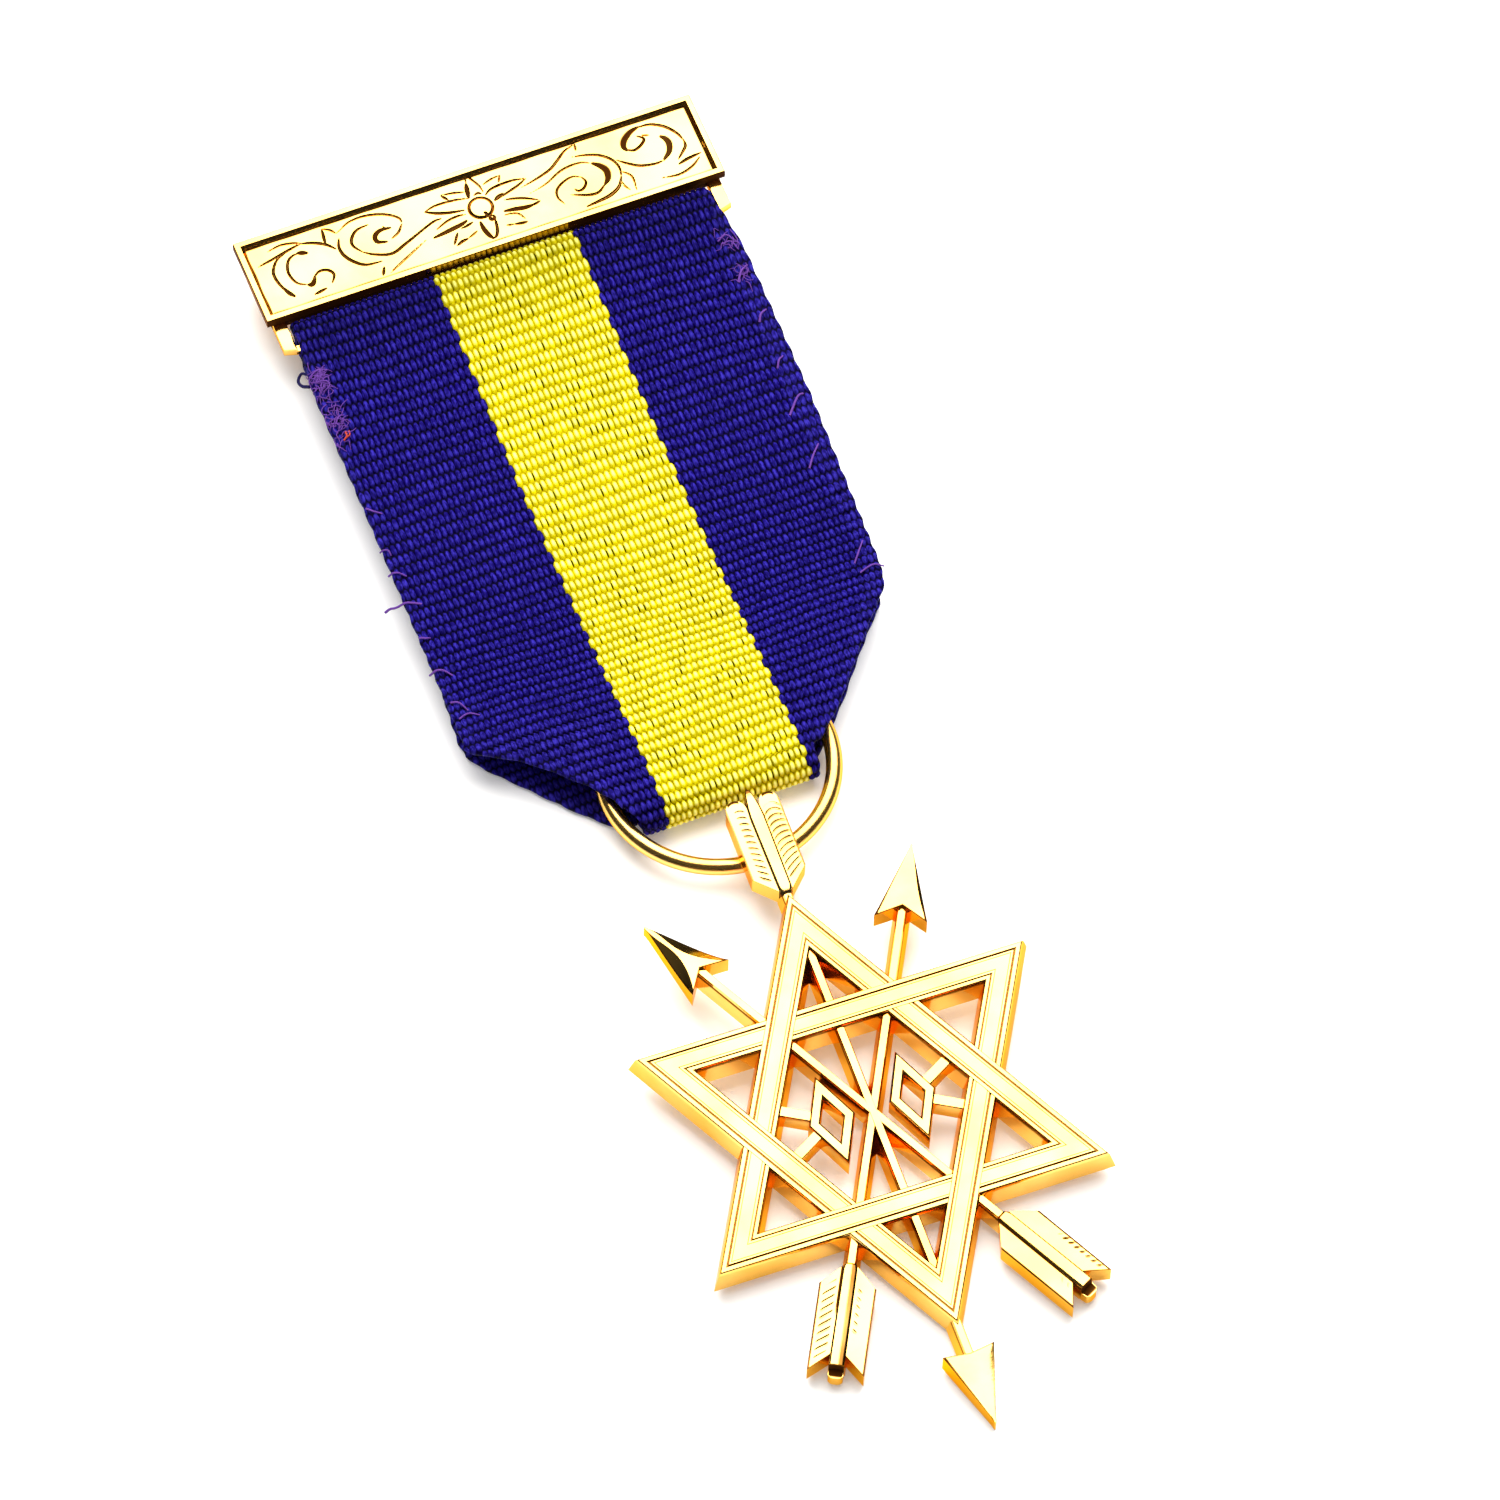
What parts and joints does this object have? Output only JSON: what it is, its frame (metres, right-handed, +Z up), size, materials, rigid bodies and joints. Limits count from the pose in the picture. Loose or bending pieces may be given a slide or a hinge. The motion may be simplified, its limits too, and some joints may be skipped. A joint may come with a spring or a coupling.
{
  "type": "masonic breast jewel",
  "caption": "Gilt breast jewel lying on its back: engraved brooch bar, looped striped ribbon, plain ring and a pierced star of laced triangles over crossed arrows.",
  "frame": {"origin": "middle of the footprint, on the surface that the jewel lies on", "axes": "+Z up out of the jewel's front, +Y from the star towards the top bar, +X along the bar to its right end"},
  "size_m": [0.034, 0.1036, 0.0045],
  "materials": {
    "gilt_metal": "polished gold plate on cast brass",
    "pin_wire": "drawn wire, gold plated",
    "grosgrain_ribbon": "ribbed grosgrain, dark violet-blue with a yellow centre stripe"
  },
  "bodies": {
    "root": {"top_bar": "gilt_metal", "brooch_pin": "pin_wire", "ribbon": "grosgrain_ribbon", "suspension_ring": "gilt_metal", "pendant": "gilt_metal"}
  },
  "joints": []
}
